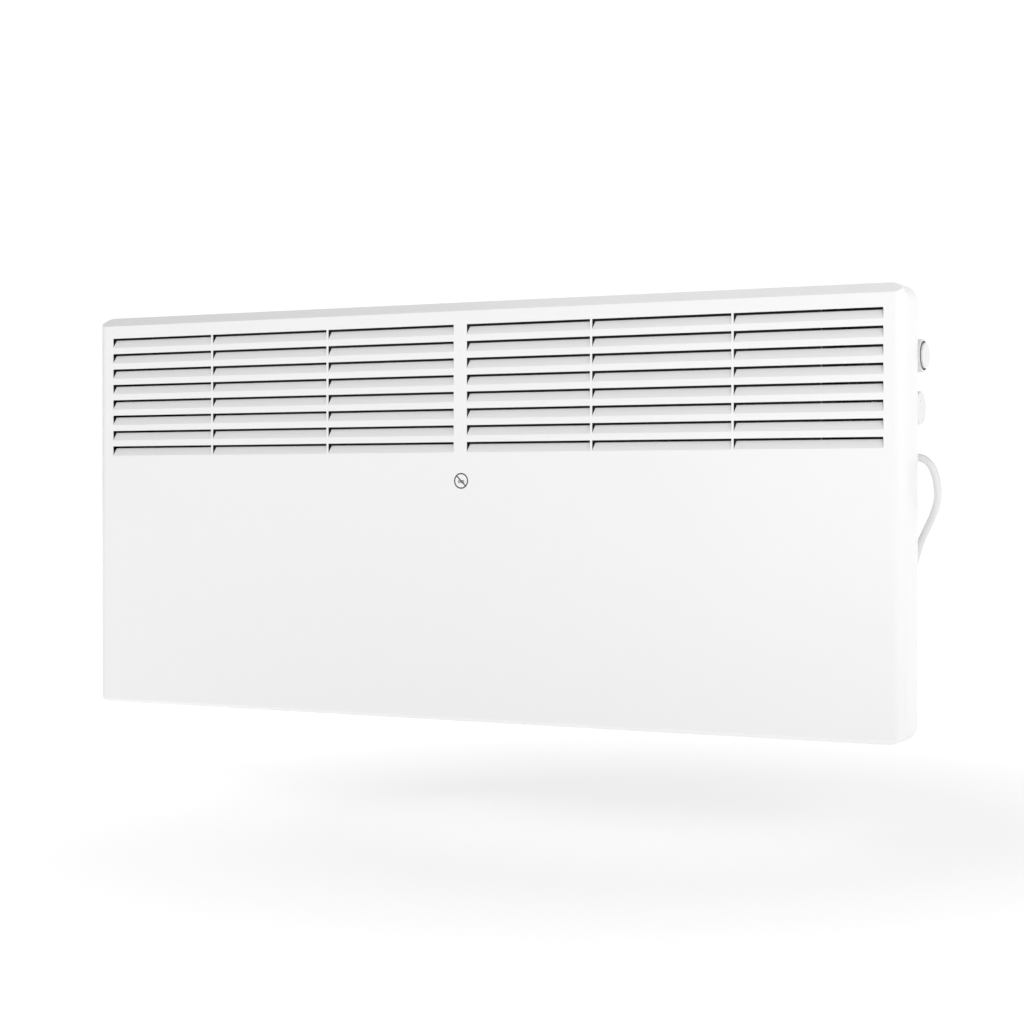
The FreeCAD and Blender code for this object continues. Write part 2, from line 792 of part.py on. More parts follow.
def make_sensor():
    """Capillary and bulb that hang from the thermostat down to the cooler air near the floor."""
    bulb = rod("sensor_bulb_rod", "z", ("sensor_x", "-sensor_line", "bulb_top - bulb_length"),
               "bulb_diameter", "bulb_length")
    keep(bulb, "sensor_bulb")
    start = value("knob_height - thermostat_high / 2")
    bulb_top = value("bulb_top")
    line = -value("sensor_line")
    x = value("sensor_x")
    upper_line = -value("capillary_line")
    route = [(x, upper_line, start), (x, upper_line, start - value("capillary_straight")),
             (x, line, start - value("capillary_swing")), (x, line, bulb_top)]
    capillary = tube_object("sensor_capillary_tube", route, value("capillary_diameter"),
                            value("capillary_bend"))
    keep(capillary, "sensor_capillary")
    level = "(bulb_top - bulb_length / 2)"
    block = box("sensor_clip_block", ("sensor_x - bulb_diameter / 2 - clip_wall", WALL_IN),
                ("-sensor_line - bulb_diameter / 2 - clip_wall", "-cover_back - clip_wall"),
                (f"{level} - clip_height / 2", f"{level} + clip_height / 2"))
    tab = box("sensor_clip_tab", (f"{WALL_IN} - clip_wall", WALL_IN),
              ("-cover_back - clip_wall - sheet", "-cover_back + clip_height"),
              (f"{level} - clip_height / 2", f"{level} + clip_height / 2"))
    hole = rod("sensor_clip_bore", "z", ("sensor_x", "-sensor_line", f"{level} - clip_height"),
               "bulb_diameter", "2 * clip_height")
    keep(cut("sensor_clip_solid", fuse("sensor_clip_outside", [block, tab]), hole), "sensor_clip")


# ---------------------------------------------------------------- heating chamber

def make_partition():
    """Sheet wall between the control compartment and the heating chamber, with its grommet."""
    wall = box("partition_wall", ("partition_x", "partition_x + sheet"),
               ("-casing_back - sheet - partition_depth", "-casing_back - sheet"),
               ("-partition_height / 2", "partition_height / 2"))
    foot = box("partition_foot_box", ("partition_x - partition_foot", "partition_x + sheet"),
               ("-casing_back - 2 * sheet", "-casing_back - sheet"),
               ("-partition_height / 2", "partition_height / 2"))
    hole = rod("partition_hole", "x", ("partition_x - sheet", "-grommet_line", "grommet_height"),
               "grommet_neck", "3 * sheet")
    keep(cut("control_partition_solid", fuse("partition_plain", [wall, foot]), hole),
         "control_partition")

    middle = "(partition_x + sheet / 2)"
    thick = rod("grommet_thick", "x",
                (f"{middle} - grommet_length / 2", "-grommet_line", "grommet_height"),
                "grommet_outer", "grommet_length")
    groove = ring("grommet_groove", "x", ("partition_x", "-grommet_line", "grommet_height"),
                  "grommet_outer + 2", "grommet_neck", "sheet")
    bore = rod("grommet_bore_rod", "x",
               (f"{middle} - grommet_length", "-grommet_line", "grommet_height"),
               "grommet_bore", "2 * grommet_length")
    keep(cut("wire_grommet_solid", cut("grommet_grooved", thick, groove), bore), "wire_grommet")


def make_heating_element():
    """Extruded aluminium X profile with a steel sheathed rod through its hub."""
    element = new_body("heating_element")
    sketch = new_sketch(element, "YZ_Plane", "-element_length / 2")
    corners = []
    for index in range(4):
        for side in ("-", "+"):
            corners.append(star_point(index, side, "element_reach"))
        corners.append(star_point(index + 0.5, "+", "element_hub * sqrt(2) / 2", spread="0"))
    add_polygon(sketch, corners)
    pad(element, sketch, "element_length")
    sketch = new_sketch(element, "YZ_Plane", "element_length / 2")
    add_circle(sketch, "-element_line", "element_height", "rod_diameter")
    pocket(element, sketch, "element_length")
    keep(element, "heating_element")

    sheath = rod("element_rod_solid", "x", ("-rod_length / 2", "-element_line", "element_height"),
                 "rod_diameter", "rod_length")
    keep(sheath, "element_rod")
    for side, sign in mirrored_signs():
        make_element_holder(side, sign)


def star_point(quarter, side, reach, spread="element_arm / 2"):
    """A corner of the X profile: out along an arm, then sideways by half the arm's thickness."""
    turn = f"{45 + 90 * quarter} deg"
    across = f"-element_line + ({reach}) * cos({turn}) {flipped(side)} ({spread}) * sin({turn})"
    up = f"element_height + ({reach}) * sin({turn}) {side} ({spread}) * cos({turn})"
    return across, up


def flipped(sign):
    return "-" if sign == "+" else "+"


def make_element_holder(side, sign):
    """Bracket, ceramic bush and blade terminal at one end of the element."""
    low_x, high_x = ordered(sign, "holder_x", "holder_x + holder_sheet")
    middle = "element_height"
    plate = box(f"holder_{side}_plate", (low_x, high_x), ("-holder_front", "-casing_back - sheet"),
                (f"{middle} - holder_high / 2", f"{middle} + holder_high / 2"))
    foot_low, foot_high = ordered(sign, "holder_x - holder_foot", "holder_x")
    foot = box(f"holder_{side}_foot", (foot_low, foot_high),
               ("-casing_back - sheet - holder_sheet", "-casing_back - sheet"),
               (f"{middle} - holder_high / 2", f"{middle} + holder_high / 2"))
    hole = rod(f"holder_{side}_hole", "x", (f"{low_x} - 1", "-element_line", middle), "insulator_neck",
               "holder_sheet + 2")
    keep(cut(f"element_holder_{side}_solid", fuse(f"holder_{side}_plain", [plate, foot]), hole),
         f"element_holder_{side}")

    bush_low, _ = ordered(sign, "holder_x - insulator_length / 2", "holder_x + insulator_length / 2")
    flange_low, _ = ordered(sign, "holder_x - insulator_length / 2", "holder_x")
    neck = rod(f"insulator_{side}_neck", "x", (bush_low, "-element_line", middle), "insulator_neck",
               "insulator_length")
    flange = rod(f"insulator_{side}_flange", "x", (flange_low, "-element_line", middle),
                 "insulator_flange", "insulator_length / 2")
    bore = rod(f"insulator_{side}_bore", "x", (f"{bush_low} - 1", "-element_line", middle),
               "rod_diameter", "insulator_length + 2")
    keep(cut(f"insulator_{side}_solid", fuse(f"insulator_{side}_plain", [neck, flange]), bore),
         f"element_insulator_{side}")
    tab_low, tab_high = ordered(sign, "rod_length / 2", "rod_length / 2 + tab_length")
    keep(box(f"element_tab_{side}_box", (tab_low, tab_high),
             ("-element_line - tab_width / 2", "-element_line + tab_width / 2"),
             (f"{middle} - tab_sheet / 2", f"{middle} + tab_sheet / 2")), f"element_tab_{side}")


def ordered(sign, near, far):
    """Two distances from the middle as low and high X on the side given by sign."""
    if sign == "1":
        return near, far
    return f"-({far})", f"-({near})"


def make_heat_shield():
    """Hat-section sheet that keeps the element's heat off the back panel."""
    back = "(-casing_back - sheet)"
    thick = "shield_sheet"
    plate = "(-shield_line)"
    shield = new_body("heat_shield")
    sketch = new_sketch(shield, "YZ_Plane", "-shield_width / 2")
    add_polygon(sketch, [
        (back, "shield_bottom - shield_foot"),
        (back, "shield_bottom"),
        (f"{plate} + {thick}", "shield_bottom"),
        (f"{plate} + {thick}", "shield_top"),
        (back, "shield_top"),
        (back, "shield_top + shield_foot"),
        (f"{back} - {thick}", "shield_top + shield_foot"),
        (f"{back} - {thick}", f"shield_top + {thick}"),
        (plate, f"shield_top + {thick}"),
        (plate, f"shield_bottom - {thick}"),
        (f"{back} - {thick}", f"shield_bottom - {thick}"),
        (f"{back} - {thick}", "shield_bottom - shield_foot"),
    ])
    pad(shield, sketch, "shield_width")
    keep(shield, "heat_shield")

    disc = rod("cutout_disc", "y", ("cutout_x", "-shield_line - cutout_length", "cutout_height"),
               "cutout_diameter", "cutout_length")
    ears = box("cutout_ears", ("cutout_x - cutout_diameter", "cutout_x + cutout_diameter"),
               ("-shield_line - shield_sheet", "-shield_line"),
               ("cutout_height - tab_width / 2", "cutout_height + tab_width / 2"))
    keep(fuse("thermal_cutout_solid", [disc, ears]), "thermal_cutout")


# ---------------------------------------------------------------- round tubes: wires and the mains lead

def bent_path(points, bend=None):
    """Straight runs joined by tangent arcs, and the arcs' radii; bend caps the radius."""
    points = [Vector(*point) for point in points]
    edges = []
    radii = []
    start = points[0]
    for before, corner, after in zip(points, points[1:], points[2:]):
        arriving = corner - before
        leaving = after - corner
        half_turn = arriving.getAngle(leaving) / 2
        radius = 0.45 * min(arriving.Length, leaving.Length) / math.tan(half_turn)
        if bend:
            radius = min(radius, bend)
        radii.append(radius)
        setback = radius * math.tan(half_turn)
        arc_start = corner - arriving.normalize() * setback
        arc_end = corner + leaving.normalize() * setback
        towards = (arc_start + arc_end) * 0.5 - corner
        to_middle = radius / math.cos(half_turn) - radius
        middle = corner + towards.normalize() * to_middle
        edges.append(Part.LineSegment(start, arc_start).toShape())
        edges.append(Part.Arc(arc_start, middle, arc_end).toShape())
        start = arc_end
    edges.append(Part.LineSegment(start, points[-1]).toShape())
    return Part.Wire(edges), radii


def tube_object(name, points, diameter, bend=None):
    """A round tube along a route of points, as a feature with its own shape."""
    path, radii = bent_path(points, bend)
    first = Vector(*points[0])
    heading = Vector(*points[1]) - first
    section = Part.Wire(Part.makeCircle(diameter / 2, first, heading))
    shape = path.makePipeShell([section], True, False)
    expected = math.pi * diameter ** 2 / 4 * path.Length
    print(f"{name}: length {path.Length:.1f}, smallest radius {min(radii):.1f},",
          "radii", [round(radius, 1) for radius in radii], f"volume ratio {shape.Volume / expected:.4f}")
    assert abs(shape.Volume / expected - 1) < 0.01, name
    thing = doc.addObject("Part::Feature", name)
    thing.Shape = shape
    thing.Placement = Placement()
    return thing


def make_wires():
    """Insulated wires of the control compartment and the heating chamber."""
    sheath = value("sheath_end")
    line = -value("control_line")
    cord = value("cord_height")
    lane = sheath - 10
    switch_x = value(f"{WALL_IN} - switch_depth - tab_length")
    dial_x = value(f"{WALL_IN} - thermostat_depth - tab_length")
    switch_low = value("button_height - tab_spacing / 2")
    switch_high = value("button_height + tab_spacing / 2")
    dial_low = value("knob_height - tab_spacing / 2")
    dial_high = value("knob_height + tab_spacing / 2")
    gate_up = value("grommet_height")
    gate_heater = -value("grommet_line + wire_lane")
    gate_neutral = -value("grommet_line - wire_lane")
    element_line = -value("element_line")
    tab_x = value("rod_length / 2 + tab_length / 2")
    tab_top = value("element_height + tab_sheet / 2")
    tab_bottom = value("element_height - tab_sheet / 2")
    earth_line = value("-casing_back - sheet - earth_stack / 2")
    earth_top = value("earth_height + earth_washer / 2")
    floor = value("shield_bottom - shield_foot") - 20
    routes = {
        "wire_live": [
            (sheath, line, cord + 1.9), (sheath - 5, line, cord + 1.9), (lane, line - 2, cord + 14),
            (lane, line - 2, switch_low - 14), (switch_x - 6, line, switch_low),
            (switch_x, line, switch_low),
        ],
        "wire_switched": [
            (switch_x, line, switch_high), (switch_x - 6, line, switch_high),
            (switch_x - 7, line - 10, 122), (dial_x - 7, line, dial_high), (dial_x, line, dial_high),
        ],
        "wire_heater": [
            (dial_x, line, dial_low), (dial_x - 6, line, dial_low), (lane + 5, line - 9, 64),
            (lane, gate_heater, 30), (357, gate_heater, gate_up), (347, gate_heater, gate_up),
            (343, gate_heater, 6), (tab_x, -68, -22), (tab_x, element_line, -46),
            (tab_x, element_line, tab_top),
        ],
        "wire_neutral": [
            (sheath, line - 1.8, cord - 1), (sheath - 5, line - 1.8, cord - 1), (lane + 1, -58.5, 34),
            (359, gate_neutral, gate_up), (345, gate_neutral, gate_up), (329, -57, 6), (328, -57, -40),
            (328, -57, -118), (290, -58, floor), (0, -60, floor), (-290, -59, floor),
            (-334, -64, floor + 14), (-tab_x, element_line, -100), (-tab_x, element_line, tab_bottom),
        ],
        "wire_earth": [
            (sheath, line + 1.8, cord - 1), (sheath - 5, line + 1.8, cord - 1), (368, earth_line, 28),
            (368, earth_line, earth_top),
        ],
    }
    for name, route in routes.items():
        keep(tube_object(name + "_tube", route, value("wire_diameter"), value("wire_bend")), name)


def make_earth_point():
    stack = rod("earth_washers", "y", ("earth_x", "-casing_back - sheet - earth_stack", "earth_height"),
                "earth_washer", "earth_stack")
    keep(stack, "earth_screw")


LEAD_ROUTE = [
    (410, -54.7, 49.5), (420, -54.7, 49.5), (430, -54.5, 48.6), (437, -53.8, 42.3), (441, -51.5, 31.5),
    (442.8, -47, 17), (441, -40.5, 3), (434.5, -32.5, -10.5), (426, -24.5, -24), (419, -19, -39),
    (411, -15, -56), (396, -12.2, -73.5), (375, -10.6, -88), (348, -9.9, -98), (314, -9.8, -102.2),
    (276, -9.8, -102.9), (240, -9.8, -102.9),
]
TAIL_ROUTE = [(278.9, -30.2, -62), (279, -30, -77), (279.8, -23, -98), (280, -20, -118)]


def make_lead():
    """Mains lead: out of the right-hand wall, down and round behind the heater to a tied coil."""
    diameter = value("cord_diameter")
    keep(tube_object("power_cord_tube", LEAD_ROUTE, diameter), "power_cord")
    keep(tube_object("cord_tail_tube", TAIL_ROUTE, diameter), "cord_tail")
    stub = rod("cord_inner_rod", "x", on_wall("sheath_end", "cord_height"), "cord_diameter",
               "cord_start - sheath_end")
    keep(stub, "cord_inner_end")

    thick = "(coil_across * cord_diameter)"
    deep = "(coil_layers * cord_diameter)"
    start = ("coil_x", f"-coil_line - {thick} / 2", "coil_height")
    coil = ring("cord_coil_solid", "y", start, f"coil_middle + {deep}", f"coil_middle - {deep}", thick)
    keep(coil, "cord_coil")

    top = "(coil_height + coil_middle / 2)"
    band = box("tie_outside", ("coil_x - tie_width / 2", "coil_x + tie_width / 2"),
               (f"-coil_line - {thick} / 2 - tie_sheet", f"-coil_line + {thick} / 2 + tie_sheet"),
               (f"{top} - {deep} / 2 - tie_slack - tie_sheet", f"{top} + {deep} / 2 + tie_sheet"))
    gap = box("tie_inside", ("coil_x - tie_width", "coil_x + tie_width"),
              (f"-coil_line - {thick} / 2", f"-coil_line + {thick} / 2"),
              (f"{top} - {deep} / 2 - tie_slack", f"{top} + {deep} / 2"))
    keep(cut("cord_tie_solid", band, gap), "cord_tie")


def make_gland_and_clamp():
    flange = rod("gland_flange_rod", "x", on_wall(WALL_OUT, "cord_height"),
                 "gland_flange", "gland_flange_high")
    neck = rod("gland_neck", "x", on_wall(f"{WALL_OUT} - gland_length", "cord_height"),
               "gland_hole", "gland_length")
    bore = rod("gland_bore", "x", on_wall(f"{WALL_OUT} - 2 * gland_length", "cord_height"),
               "cord_diameter", "4 * gland_length")
    keep(cut("cord_gland_solid", fuse("gland_plain", [flange, neck]), bore), "cord_gland")

    across = ("clamp_x", "clamp_x + clamp_wide")
    tall = ("cord_height - clamp_high / 2", "cord_height + clamp_high / 2")
    base = box("clamp_base_block", across, ("-control_line", "-casing_back - sheet"), tall)
    bar = box("clamp_bar_block", across, ("-clamp_front", "-control_line"), tall)
    middle = "(clamp_x + clamp_wide / 2)"
    for name, block in (("cord_clamp_base", base), ("cord_clamp_bar", bar)):
        tools = [rod(name + "_seat", "x", on_wall("clamp_x - clamp_wide / 2", "cord_height"),
                     "cord_diameter", "2 * clamp_wide")]
        for level, height in clamp_screw_heights():
            tools.append(rod(f"{name}_{level}_hole", "y",
                             (middle, "-clamp_front - clamp_head_high", height), "clamp_screw",
                             "clamp_head_high + clamp_front - control_line + clamp_screw_grip"))
        keep(cut(name + "_solid", block, fuse(name + "_tools", tools)), name)
    for level, height in clamp_screw_heights():
        name = f"clamp_screw_{level}"
        shank = rod(name + "_shank", "y", (middle, "-clamp_front", height),
                    "clamp_screw", "clamp_front - control_line + clamp_screw_grip")
        head = rod(name + "_head", "y", (middle, "-clamp_front - clamp_head_high", height),
                   "2 * clamp_screw", "clamp_head_high")
        keep(fuse(name + "_solid", [shank, head]), name)


def clamp_screw_heights():
    return (("lower", "cord_height - clamp_screw_offset"), ("upper", "cord_height + clamp_screw_offset"))


def make_plug():
    """Round earthed plug hanging behind the heater, with its strain relief and two pins."""
    relief = doc.addObject("Part::Cone", "plug_relief_cone")
    bind(relief, Radius1="relief_large / 2", Radius2="relief_small / 2",
         Height="relief_top - relief_bottom")
    place(relief, "plug_x", "-coil_line", "relief_bottom")
    keep(relief, "plug_relief")
    shoulder = doc.addObject("Part::Cone", "plug_shoulder_cone")
    bind(shoulder, Radius1="plug_diameter / 2", Radius2="plug_neck / 2", Height="plug_shoulder")
    place(shoulder, "plug_x", "-coil_line", "relief_bottom - plug_shoulder")
    barrel = rod("plug_barrel", "z", ("plug_x", "-coil_line", "plug_bottom"), "plug_diameter",
                 "relief_bottom - plug_shoulder - plug_bottom")
    keep(fuse("plug_body_solid", [shoulder, barrel]), "plug_body")
    for side, sign in mirrored_signs():
        pin = rod(f"plug_pin_{side}_rod", "z",
                  (f"plug_x + {sign} * pin_spacing / 2", "-coil_line", "plug_bottom - pin_length"),
                  "pin_diameter", "pin_length")
        keep(pin, f"plug_pin_{side}")


# ---------------------------------------------------------------- wall bracket

def make_bracket():
    for side, sign in mirrored_signs():
        make_upright(side, sign)
    half_gap = "(bolt_across / 2 - upright_width / 2)"
    bar = box("top_bar_box", (f"-{half_gap}", half_gap), ("-bracket_sheet", "0"),
              ("upright_top - top_bar_high", "upright_top"))
    keep(bar, "bracket_top_bar")

    shelf = new_body("bracket_shelf")
    sketch = new_sketch(shelf, "YZ_Plane", "-shelf_length / 2")
    thick = "bracket_sheet"
    add_polygon(sketch, [
        ("0", "shelf_top"),
        ("0", "shelf_top - shelf_back"),
        (f"-{thick}", "shelf_top - shelf_back"),
        (f"-{thick}", f"shelf_top - {thick}"),
        (f"-upright_depth - {thick}", f"shelf_top - {thick}"),
        (f"-upright_depth - {thick}", "shelf_top + shelf_lip"),
        ("-upright_depth", "shelf_top + shelf_lip"),
        ("-upright_depth", "shelf_top"),
    ])
    pad(shelf, sketch, "shelf_length")
    keep(shelf, "bracket_shelf")


def make_upright(side, sign):
    """U-channel against the wall, with two hooks cut out of its inner flange."""
    name = f"bracket_upright_{side}"
    middle = f"{sign} * bolt_across / 2"
    inner_low, inner_high = ordered(sign, "bolt_across / 2 - upright_width / 2",
                                    "bolt_across / 2 - upright_width / 2 + bracket_sheet")
    half = "upright_width / 2"
    channel = new_body(name)
    sketch = new_sketch(channel, "XY_Plane", "shelf_top")
    add_polygon(sketch, [
        (f"{middle} - {half}", "0"),
        (f"{middle} + {half}", "0"),
        (f"{middle} + {half}", "-upright_depth"),
        (f"{middle} + {half} - bracket_sheet", "-upright_depth"),
        (f"{middle} + {half} - bracket_sheet", "-bracket_sheet"),
        (f"{middle} - {half} + bracket_sheet", "-bracket_sheet"),
        (f"{middle} - {half} + bracket_sheet", "-upright_depth"),
        (f"{middle} - {half}", "-upright_depth"),
    ])
    pad(channel, sketch, "upright_top - shelf_top")
    sketch = new_sketch(channel, "XZ_Plane")
    for height in ("-bolt_up / 2", "bolt_up / 2"):
        add_circle(sketch, middle, height, "bolt_hole")
    pocket(channel, sketch, "2 * bracket_sheet", reverse=True)
    for rest in ("hook_upper", "hook_lower"):
        sketch = new_sketch(channel, "YZ_Plane", inner_low)
        add_polygon(sketch, [
            ("-upright_depth + hook_root", f"{rest} - hook_neck"),
            ("-upright_depth + hook_root", rest),
            ("-hook_throat", rest),
            ("-hook_throat", f"{rest} + hook_tip"),
            ("-hook_reach", f"{rest} + hook_tip - hook_chamfer"),
            ("-hook_reach", f"{rest} - hook_neck + hook_chamfer"),
            ("-hook_reach + hook_chamfer", f"{rest} - hook_neck"),
        ])
        pad(channel, sketch, "bracket_sheet")
    keep(channel, name)


# ---------------------------------------------------------------- build, check and export

def check_and_export():
    doc.recompute()
    for thing in doc.Objects:
        assert not {"Invalid", "Error"} & set(thing.State), (thing.Name, thing.State)
    for part in sub_parts:
        shape = part.Shape
        assert not shape.isNull() and shape.isValid(), part.Label
        assert len(shape.Solids) == 1, (part.Label, len(shape.Solids))
        shape.exportStep(f"parts/{part.Label}.step")
    print(len(sub_parts), "sub-parts")


make_bracket()
make_front_cover()
make_rear_casing()
make_back_panel()
make_cover_screws()
make_rear_spacers()
make_switch()
make_power_button()
make_thermostat()
make_thermostat_knob()
make_sensor()
make_partition()
make_heating_element()
make_heat_shield()
make_earth_point()
make_wires()
make_gland_and_clamp()
make_lead()
make_plug()
check_and_export()
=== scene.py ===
"""Looks of the wall convector heater: its enamel, plastics and metals, the mains lead and the studio.

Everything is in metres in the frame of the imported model: +X towards the controls, +Z up, the wall
plane at y = 0 and the heater in front of it at negative y.
"""
import json
import math

import bpy
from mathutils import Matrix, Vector


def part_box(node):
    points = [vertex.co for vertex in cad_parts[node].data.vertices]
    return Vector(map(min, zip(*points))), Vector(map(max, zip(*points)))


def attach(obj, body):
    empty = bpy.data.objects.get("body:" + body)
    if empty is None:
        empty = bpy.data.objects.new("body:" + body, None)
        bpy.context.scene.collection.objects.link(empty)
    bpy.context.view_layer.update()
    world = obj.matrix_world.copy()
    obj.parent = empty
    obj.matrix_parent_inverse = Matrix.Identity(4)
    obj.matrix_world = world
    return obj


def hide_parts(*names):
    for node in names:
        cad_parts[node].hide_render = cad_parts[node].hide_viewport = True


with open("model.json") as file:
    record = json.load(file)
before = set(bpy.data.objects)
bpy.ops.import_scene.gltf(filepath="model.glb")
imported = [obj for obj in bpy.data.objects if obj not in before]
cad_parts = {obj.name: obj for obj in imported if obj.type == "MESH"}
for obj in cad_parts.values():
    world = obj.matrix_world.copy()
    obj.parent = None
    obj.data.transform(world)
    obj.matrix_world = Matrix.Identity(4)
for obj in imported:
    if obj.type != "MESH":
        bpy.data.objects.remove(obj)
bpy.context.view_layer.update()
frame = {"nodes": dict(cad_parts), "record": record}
NODES = frame["nodes"]
MM = 0.001

COVER_LOW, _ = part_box("front_cover")
FRONT = COVER_LOW.y
CORD_DIAMETER = 6.8 * MM


# ---------------------------------------------------------------- camera

def make_camera():
    """Level view from the right, a little above the floor, at the height of the panel's middle."""
    data = bpy.data.cameras.new("camera")
    data.sensor_width = 36.0
    data.lens = 72.07
    data.shift_y = -0.0184
    camera = bpy.data.objects.new("camera", data)
    camera.location = (0.9138, FRONT - 1.7246, 0.0175)
    camera.rotation_euler = (math.radians(90), 0, math.radians(26.52))
    bpy.context.scene.collection.objects.link(camera)
    bpy.context.scene.camera = camera


# ---------------------------------------------------------------- mains lead

LEAD_ROUTE = [
    (410, -54.7, 49.5), (420, -54.7, 49.5), (430.5, -54.6, 48.8), (437.8, -54, 42), (441, -52.5, 32.8),
    (442, -50, 24), (441.3, -45, 13), (436.4, -37.6, 1), (426, -27, -15), (419, -20.5, -26),
    (414.5, -17, -38), (408.5, -14.8, -57), (395, -12.4, -74), (375, -10.6, -88), (348, -9.9, -98),
    (314, -9.8, -102.2), (276, -9.8, -102.9),
]
TAIL_ROUTE = [(279, -30, -77), (279.8, -23, -98), (280, -20, -118)]
COIL_MIDDLE_RADIUS = 37.5
COIL_CENTRE = (238, -62)
POINTS_PER_TURN = 16
COIL_TURNS = 4.75
FIRST_ROW_Y = -9.8
PITCH = 6.8


def eased(angle, start):
    """0 before a start angle, 1 from 75 degrees after it, smooth between."""
    part = min(max((angle - start) / 75.0, 0.0), 1.0)
    return part * part * (3 - 2 * part)


def coil_points():
    """The coil's turns, clockwise from its lowest point, packed two deep and stepping along Y.

    Each turn moves on to the next free place a little earlier than the turn before, so that none
    passes through another: inwards, along, outwards, along.
    """
    points = []
    total = int(COIL_TURNS * POINTS_PER_TURN)
    shrink = 0.75 + 0.25 * math.cos(2 * math.pi / POINTS_PER_TURN)
    for index in range(1, total + 1):
        travel = 360.0 * index / POINTS_PER_TURN
        inwards = eased(travel, 285) - eased(travel, 2 * 360 + 135)
        along = eased(travel, 360 + 210) + eased(travel, 3 * 360 + 60) + eased(travel, 4 * 360 - 15)
        radius = (COIL_MIDDLE_RADIUS + PITCH / 2 - PITCH * inwards) / shrink
        turn = math.radians(-90 - travel)
        points.append((COIL_CENTRE[0] + radius * math.cos(turn), FIRST_ROW_Y - PITCH * along,
                       COIL_CENTRE[1] + radius * math.sin(turn)))
    return points


def make_cord():
    """One smooth line from the gland, down behind the heater, round the coil and down to the plug.

    The tube's own radius is on its points, because a curve's box is its points' box with their
    radius added.
    """
    route = LEAD_ROUTE + coil_points() + TAIL_ROUTE
    data = bpy.data.curves.new("mains_lead", "CURVE")
    data.dimensions = "3D"
    data.bevel_depth = 1.0
    data.bevel_resolution = 6
    data.resolution_u = 6
    data.use_fill_caps = True
    spline = data.splines.new("NURBS")
    spline.points.add(len(route) - 1)
    for point, place in zip(spline.points, route):
        point.co = (place[0] * MM, place[1] * MM, place[2] * MM, 1.0)
        point.radius = CORD_DIAMETER / 2
    spline.order_u = 3
    spline.use_endpoint_u = True
    lead = bpy.data.objects.new("mains_lead", data)
    bpy.context.scene.collection.objects.link(lead)
    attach(lead, "heater")
    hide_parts("power_cord", "cord_coil", "cord_tail")
    return lead


make_camera()
lead = make_cord()


# ---------------------------------------------------------------- materials

